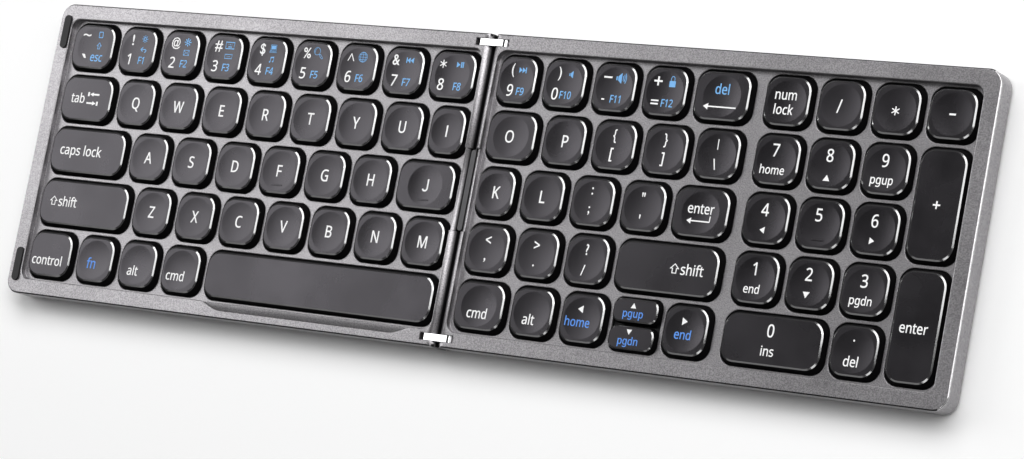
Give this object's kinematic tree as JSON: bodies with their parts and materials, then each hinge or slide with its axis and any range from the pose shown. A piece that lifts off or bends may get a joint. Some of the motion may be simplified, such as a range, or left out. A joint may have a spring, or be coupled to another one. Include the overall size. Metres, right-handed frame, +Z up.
{
  "type": "folding keyboard",
  "caption": "Slim folding keyboard with a number pad; two halves in satin grey metal joined by a double-axis link hinge fold keys to keys.",
  "frame": {"origin": "on the table surface under the feet, at the middle of the fold line", "axes": "+X along the keyboard towards the number pad, +Y towards the rear edge (number row), +Z up out of the keys"},
  "size_m": [0.37, 0.1064, 0.0101],
  "materials": {
    "housing": "satin fine-grain metallic grey",
    "cover": "satin dark grey",
    "screw": "blackened",
    "foot_rubber": "matte",
    "bumper_rubber": "matte",
    "key_plate": "rolled",
    "membrane": "black film",
    "dome_silicone": "translucent",
    "scissor_plastic": "moulded",
    "circuit_board": "solder mask",
    "port_steel": "nickel plated",
    "magnet": "nickel plated",
    "ribbon": "polyimide film",
    "pin_steel": "turned",
    "link_steel": "mirror polished",
    "spine": "satin",
    "battery_foil": "foil pouch",
    "keycap": "satin with fine texture"
  },
  "bodies": {
    "left_half": {"left_top_housing": "housing", "left_bottom_cover": "cover", "left_screws": "screw", "left_feet": "foot_rubber", "left_rim_bumpers": "bumper_rubber", "left_backplate": "key_plate", "left_membrane": "membrane", "left_rubber_domes": "dome_silicone", "left_scissor_supports": "scissor_plastic", "controller_board": "circuit_board", "usb_c_port": "port_steel", "left_magnets": "magnet", "left_ribbon": "ribbon", "left_hinge_pins": "pin_steel"},
    "hinge": {"hinge_links": "link_steel", "hinge_spine": "spine"},
    "right_half": {"right_top_housing": "housing", "right_bottom_cover": "cover", "right_screws": "screw", "right_feet": "foot_rubber", "right_backplate": "key_plate", "right_membrane": "membrane", "right_rubber_domes": "dome_silicone", "right_scissor_supports": "scissor_plastic", "battery": "battery_foil", "right_magnets": "magnet", "right_ribbon": "ribbon", "right_hinge_pins": "pin_steel"},
    "key_escape": {"key_escape": "keycap"},
    "keys_number_left": {"keys_number_left": "keycap"},
    "key_tab": {"key_tab": "keycap"},
    "keys_upper_left": {"keys_upper_left": "keycap"},
    "key_caps_lock": {"key_caps_lock": "keycap"},
    "keys_home_left": {"keys_home_left": "keycap"},
    "key_left_shift": {"key_left_shift": "keycap"},
    "keys_lower_left": {"keys_lower_left": "keycap"},
    "key_control": {"key_control": "keycap"},
    "key_function": {"key_function": "keycap"},
    "key_left_alt": {"key_left_alt": "keycap"},
    "key_left_command": {"key_left_command": "keycap"},
    "key_space": {"key_space": "keycap"},
    "keys_number_right": {"keys_number_right": "keycap"},
    "key_delete": {"key_delete": "keycap"},
    "keys_upper_right": {"keys_upper_right": "keycap"},
    "keys_home_right": {"keys_home_right": "keycap"},
    "key_enter": {"key_enter": "keycap"},
    "keys_lower_right": {"keys_lower_right": "keycap"},
    "key_right_shift": {"key_right_shift": "keycap"},
    "key_right_command": {"key_right_command": "keycap"},
    "key_right_alt": {"key_right_alt": "keycap"},
    "key_arrow_left": {"key_arrow_left": "keycap"},
    "key_arrow_up": {"key_arrow_up": "keycap"},
    "key_arrow_down": {"key_arrow_down": "keycap"},
    "key_arrow_right": {"key_arrow_right": "keycap"},
    "keys_pad_top": {"keys_pad_top": "keycap"},
    "keys_pad_digits": {"keys_pad_digits": "keycap"},
    "key_pad_plus": {"key_pad_plus": "keycap"},
    "key_pad_enter": {"key_pad_enter": "keycap"},
    "key_pad_zero": {"key_pad_zero": "keycap"},
    "key_pad_point": {"key_pad_point": "keycap"}
  },
  "joints": [
    {"name": "link_fold", "type": "hinge", "parent": "left_half", "child": "hinge", "pos_m": [-0.0033, 0, 0.0065], "axis": [0, -1, 0], "range_deg": [0, 90]},
    {"name": "right_fold", "type": "hinge", "parent": "hinge", "child": "right_half", "pos_m": [0.0033, 0, 0.0065], "axis": [0, -1, 0], "range_deg": [0, 90]},
    {"name": "key_escape_press", "type": "slide", "parent": "left_half", "child": "key_escape", "axis": [0, 0, -1], "range_m": [0, 0.0015], "stiffness_N_per_m": 300, "springref_m": -0.0005, "deforming": ["left_rubber_domes", "left_scissor_supports"]},
    {"name": "keys_number_left_press", "type": "slide", "parent": "left_half", "child": "keys_number_left", "axis": [0, 0, -1], "range_m": [0, 0.0015], "stiffness_N_per_m": 2400, "springref_m": -0.0005, "deforming": ["left_rubber_domes", "left_scissor_supports"]},
    {"name": "key_tab_press", "type": "slide", "parent": "left_half", "child": "key_tab", "axis": [0, 0, -1], "range_m": [0, 0.0015], "stiffness_N_per_m": 300, "springref_m": -0.0005, "deforming": ["left_rubber_domes", "left_scissor_supports"]},
    {"name": "keys_upper_left_press", "type": "slide", "parent": "left_half", "child": "keys_upper_left", "axis": [0, 0, -1], "range_m": [0, 0.0015], "stiffness_N_per_m": 2400, "springref_m": -0.0005, "deforming": ["left_rubber_domes", "left_scissor_supports"]},
    {"name": "key_caps_lock_press", "type": "slide", "parent": "left_half", "child": "key_caps_lock", "axis": [0, 0, -1], "range_m": [0, 0.0015], "stiffness_N_per_m": 300, "springref_m": -0.0005, "deforming": ["left_rubber_domes", "left_scissor_supports"]},
    {"name": "keys_home_left_press", "type": "slide", "parent": "left_half", "child": "keys_home_left", "axis": [0, 0, -1], "range_m": [0, 0.0015], "stiffness_N_per_m": 2100, "springref_m": -0.0005, "deforming": ["left_rubber_domes", "left_scissor_supports"]},
    {"name": "key_left_shift_press", "type": "slide", "parent": "left_half", "child": "key_left_shift", "axis": [0, 0, -1], "range_m": [0, 0.0015], "stiffness_N_per_m": 300, "springref_m": -0.0005, "deforming": ["left_rubber_domes", "left_scissor_supports"]},
    {"name": "keys_lower_left_press", "type": "slide", "parent": "left_half", "child": "keys_lower_left", "axis": [0, 0, -1], "range_m": [0, 0.0015], "stiffness_N_per_m": 2100, "springref_m": -0.0005, "deforming": ["left_rubber_domes", "left_scissor_supports"]},
    {"name": "key_control_press", "type": "slide", "parent": "left_half", "child": "key_control", "axis": [0, 0, -1], "range_m": [0, 0.0015], "stiffness_N_per_m": 300, "springref_m": -0.0005, "deforming": ["left_rubber_domes", "left_scissor_supports"]},
    {"name": "key_function_press", "type": "slide", "parent": "left_half", "child": "key_function", "axis": [0, 0, -1], "range_m": [0, 0.0015], "stiffness_N_per_m": 300, "springref_m": -0.0005, "deforming": ["left_rubber_domes", "left_scissor_supports"]},
    {"name": "key_left_alt_press", "type": "slide", "parent": "left_half", "child": "key_left_alt", "axis": [0, 0, -1], "range_m": [0, 0.0015], "stiffness_N_per_m": 300, "springref_m": -0.0005, "deforming": ["left_rubber_domes", "left_scissor_supports"]},
    {"name": "key_left_command_press", "type": "slide", "parent": "left_half", "child": "key_left_command", "axis": [0, 0, -1], "range_m": [0, 0.0015], "stiffness_N_per_m": 300, "springref_m": -0.0005, "deforming": ["left_rubber_domes", "left_scissor_supports"]},
    {"name": "key_space_press", "type": "slide", "parent": "left_half", "child": "key_space", "axis": [0, 0, -1], "range_m": [0, 0.0015], "stiffness_N_per_m": 300, "springref_m": -0.0005, "deforming": ["left_rubber_domes", "left_scissor_supports"]},
    {"name": "keys_number_right_press", "type": "slide", "parent": "right_half", "child": "keys_number_right", "axis": [0, 0, -1], "range_m": [0, 0.0015], "stiffness_N_per_m": 1200, "springref_m": -0.0005, "deforming": ["right_rubber_domes", "right_scissor_supports"]},
    {"name": "key_delete_press", "type": "slide", "parent": "right_half", "child": "key_delete", "axis": [0, 0, -1], "range_m": [0, 0.0015], "stiffness_N_per_m": 300, "springref_m": -0.0005, "deforming": ["right_rubber_domes", "right_scissor_supports"]},
    {"name": "keys_upper_right_press", "type": "slide", "parent": "right_half", "child": "keys_upper_right", "axis": [0, 0, -1], "range_m": [0, 0.0015], "stiffness_N_per_m": 1500, "springref_m": -0.0005, "deforming": ["right_rubber_domes", "right_scissor_supports"]},
    {"name": "keys_home_right_press", "type": "slide", "parent": "right_half", "child": "keys_home_right", "axis": [0, 0, -1], "range_m": [0, 0.0015], "stiffness_N_per_m": 1200, "springref_m": -0.0005, "deforming": ["right_rubber_domes", "right_scissor_supports"]},
    {"name": "key_enter_press", "type": "slide", "parent": "right_half", "child": "key_enter", "axis": [0, 0, -1], "range_m": [0, 0.0015], "stiffness_N_per_m": 300, "springref_m": -0.0005, "deforming": ["right_rubber_domes", "right_scissor_supports"]},
    {"name": "keys_lower_right_press", "type": "slide", "parent": "right_half", "child": "keys_lower_right", "axis": [0, 0, -1], "range_m": [0, 0.0015], "stiffness_N_per_m": 900, "springref_m": -0.0005, "deforming": ["right_rubber_domes", "right_scissor_supports"]},
    {"name": "key_right_shift_press", "type": "slide", "parent": "right_half", "child": "key_right_shift", "axis": [0, 0, -1], "range_m": [0, 0.0015], "stiffness_N_per_m": 300, "springref_m": -0.0005, "deforming": ["right_rubber_domes", "right_scissor_supports"]},
    {"name": "key_right_command_press", "type": "slide", "parent": "right_half", "child": "key_right_command", "axis": [0, 0, -1], "range_m": [0, 0.0015], "stiffness_N_per_m": 300, "springref_m": -0.0005, "deforming": ["right_rubber_domes", "right_scissor_supports"]},
    {"name": "key_right_alt_press", "type": "slide", "parent": "right_half", "child": "key_right_alt", "axis": [0, 0, -1], "range_m": [0, 0.0015], "stiffness_N_per_m": 300, "springref_m": -0.0005, "deforming": ["right_rubber_domes", "right_scissor_supports"]},
    {"name": "key_arrow_left_press", "type": "slide", "parent": "right_half", "child": "key_arrow_left", "axis": [0, 0, -1], "range_m": [0, 0.0015], "stiffness_N_per_m": 300, "springref_m": -0.0005, "deforming": ["right_rubber_domes", "right_scissor_supports"]},
    {"name": "key_arrow_up_press", "type": "slide", "parent": "right_half", "child": "key_arrow_up", "axis": [0, 0, -1], "range_m": [0, 0.0015], "stiffness_N_per_m": 300, "springref_m": -0.0005, "deforming": ["right_rubber_domes", "right_scissor_supports"]},
    {"name": "key_arrow_down_press", "type": "slide", "parent": "right_half", "child": "key_arrow_down", "axis": [0, 0, -1], "range_m": [0, 0.0015], "stiffness_N_per_m": 300, "springref_m": -0.0005, "deforming": ["right_rubber_domes", "right_scissor_supports"]},
    {"name": "key_arrow_right_press", "type": "slide", "parent": "right_half", "child": "key_arrow_right", "axis": [0, 0, -1], "range_m": [0, 0.0015], "stiffness_N_per_m": 300, "springref_m": -0.0005, "deforming": ["right_rubber_domes", "right_scissor_supports"]},
    {"name": "keys_pad_top_press", "type": "slide", "parent": "right_half", "child": "keys_pad_top", "axis": [0, 0, -1], "range_m": [0, 0.0015], "stiffness_N_per_m": 1200, "springref_m": -0.0005, "deforming": ["right_rubber_domes", "right_scissor_supports"]},
    {"name": "keys_pad_digits_press", "type": "slide", "parent": "right_half", "child": "keys_pad_digits", "axis": [0, 0, -1], "range_m": [0, 0.0015], "stiffness_N_per_m": 2700, "springref_m": -0.0005, "deforming": ["right_rubber_domes", "right_scissor_supports"]},
    {"name": "key_pad_plus_press", "type": "slide", "parent": "right_half", "child": "key_pad_plus", "axis": [0, 0, -1], "range_m": [0, 0.0015], "stiffness_N_per_m": 300, "springref_m": -0.0005, "deforming": ["right_rubber_domes", "right_scissor_supports"]},
    {"name": "key_pad_enter_press", "type": "slide", "parent": "right_half", "child": "key_pad_enter", "axis": [0, 0, -1], "range_m": [0, 0.0015], "stiffness_N_per_m": 300, "springref_m": -0.0005, "deforming": ["right_rubber_domes", "right_scissor_supports"]},
    {"name": "key_pad_zero_press", "type": "slide", "parent": "right_half", "child": "key_pad_zero", "axis": [0, 0, -1], "range_m": [0, 0.0015], "stiffness_N_per_m": 300, "springref_m": -0.0005, "deforming": ["right_rubber_domes", "right_scissor_supports"]},
    {"name": "key_pad_point_press", "type": "slide", "parent": "right_half", "child": "key_pad_point", "axis": [0, 0, -1], "range_m": [0, 0.0015], "stiffness_N_per_m": 300, "springref_m": -0.0005, "deforming": ["right_rubber_domes", "right_scissor_supports"]}
  ]
}
